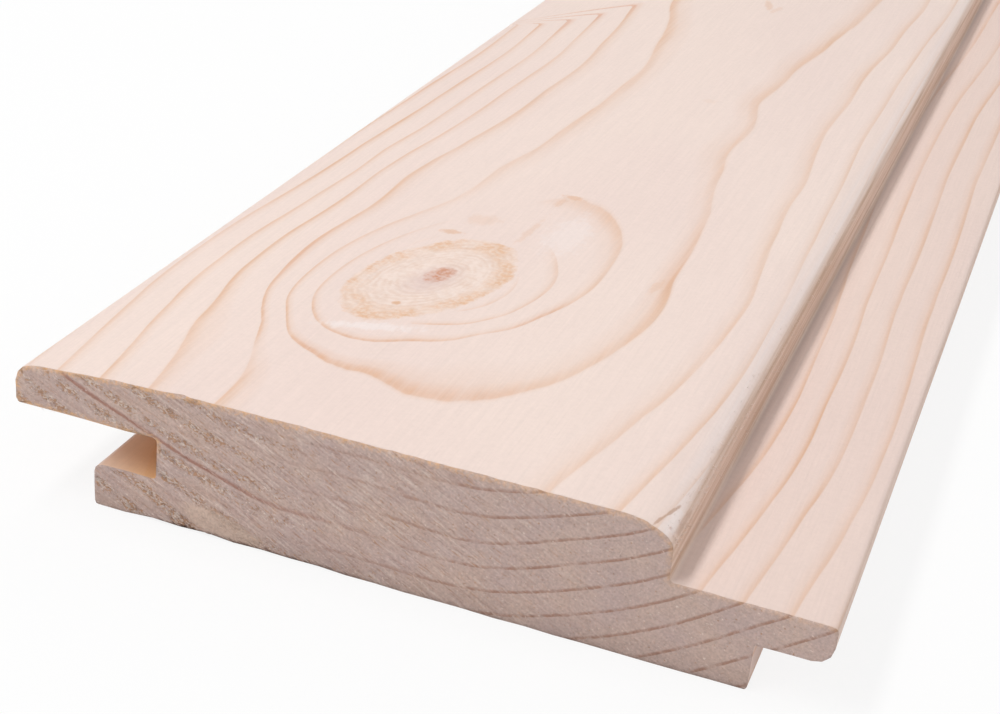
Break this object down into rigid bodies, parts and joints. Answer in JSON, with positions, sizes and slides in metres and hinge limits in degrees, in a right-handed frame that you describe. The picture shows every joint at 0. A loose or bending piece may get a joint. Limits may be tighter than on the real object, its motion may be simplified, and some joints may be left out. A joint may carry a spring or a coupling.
{
  "type": "tongue and groove board",
  "caption": "Long flat softwood board for lining a sauna wall, with a soft nose and a tongue along one edge and an overhanging lip and a groove along the other.",
  "frame": {"origin": "on the back plane, under the middle of the board's whole width and length", "axes": "+X across the board from the grooved edge to the tongued edge, +Y along the board, +Z out of the face"},
  "size_m": [0.09, 1.8, 0.016],
  "materials": {
    "spruce": "planed, unfinished, with saw-cut ends"
  },
  "bodies": {
    "root": {"panelling_board": "spruce"}
  },
  "joints": []
}
